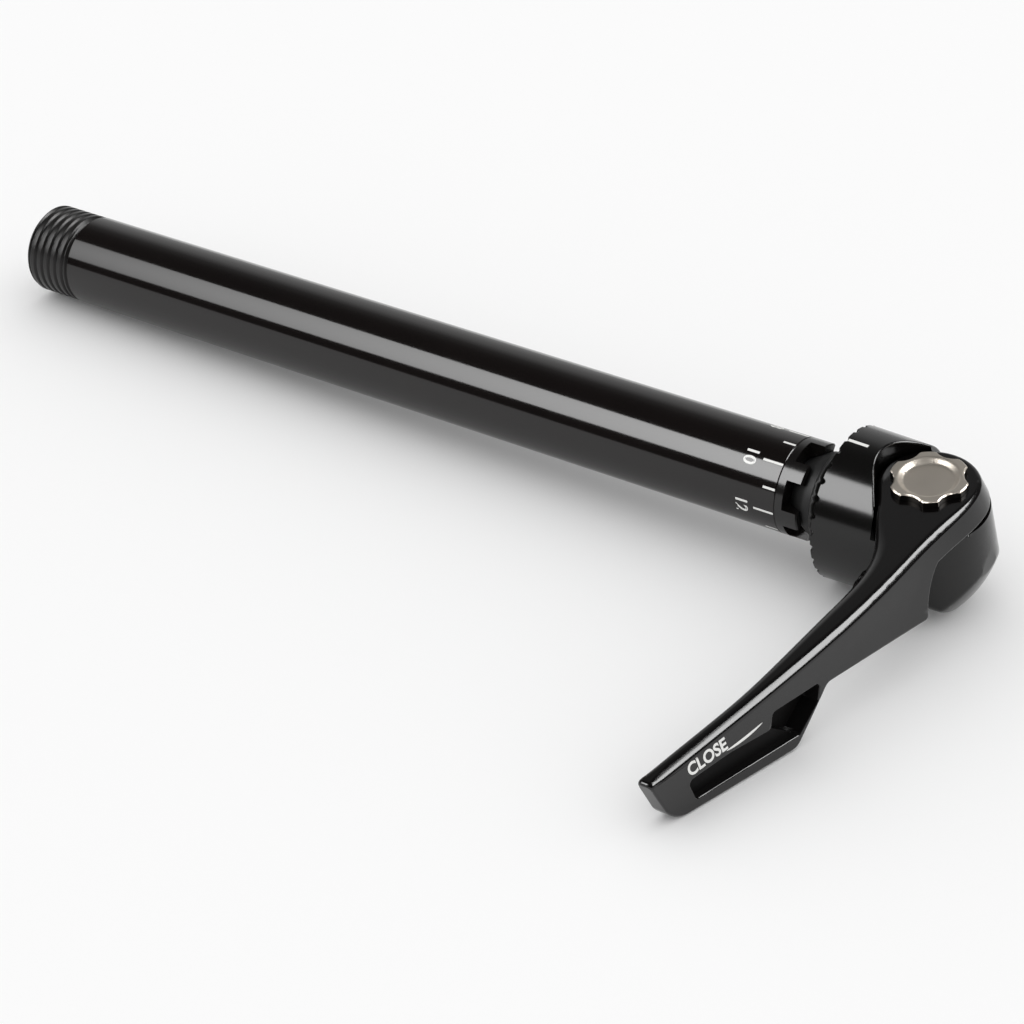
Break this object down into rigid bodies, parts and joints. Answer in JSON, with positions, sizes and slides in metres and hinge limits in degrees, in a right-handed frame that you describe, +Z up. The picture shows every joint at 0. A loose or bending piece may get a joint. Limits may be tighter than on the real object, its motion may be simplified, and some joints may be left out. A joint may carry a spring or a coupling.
{
  "type": "bicycle thru axle",
  "caption": "Hollow black thru axle with a threaded end, a clock scale, an expanding collet and a cam lever head.",
  "frame": {"origin": "middle of the ground rectangle that the axle covers as it lies, on the ground", "axes": "+X along the axle towards its head, +Z up, and the closed lever points to -Y"},
  "size_m": [0.1806, 0.083, 0.0236],
  "materials": {
    "black_tube": "gloss black anodised",
    "black_collet": "gloss black anodised",
    "black_housing": "gloss black",
    "black_lever": "gloss black",
    "dark_cone": "dark anodised",
    "stainless": "turned stainless",
    "plain_steel": "bright steel",
    "bronze": "bearing bronze",
    "guide_plastic": "natural",
    "rubber": "black"
  },
  "bodies": {
    "axle": {"axle_tube": "black_tube", "nut_clip": "plain_steel", "thrust_washer": "plain_steel", "guide_bushes": "guide_plastic", "expander_collet": "black_collet", "index_ring": "plain_steel"},
    "drawbar": {"drawbar": "plain_steel", "eye_bush": "bronze", "tension_nut": "plain_steel", "nut_seal": "rubber", "index_hub": "plain_steel", "hub_pin": "plain_steel", "click_plate": "plain_steel"},
    "head": {"expander_cone": "dark_cone", "neck_wiper": "rubber", "return_spring": "plain_steel", "cam_housing": "black_housing", "upper_bush": "bronze", "lower_bush": "bronze"},
    "lever": {"lever": "black_lever", "cam_shaft": "stainless", "foot_ring": "plain_steel", "foot_screw": "plain_steel"}
  },
  "joints": [
    {"name": "clocking", "type": "hinge", "parent": "axle", "child": "drawbar", "pos_m": [0.05884, 0.02982, 0.01169], "axis": [0.9996, 0, 0.0271], "continuous": true},
    {"name": "cam_lift", "type": "slide", "parent": "drawbar", "child": "head", "axis": [0.9996, 0, 0.0271], "range_m": [0, 0.00097498], "deforming": ["return_spring"]},
    {"name": "lever_swing", "type": "hinge", "parent": "head", "child": "lever", "pos_m": [0.08078, 0.02982, 0.01229], "axis": [-0.0267, -0.1736, 0.9845], "range_deg": [0, 120]}
  ],
  "couplings": [
    {"joint": "lever_swing", "follows": "cam_lift", "rad_per_m": 2148.1}
  ]
}
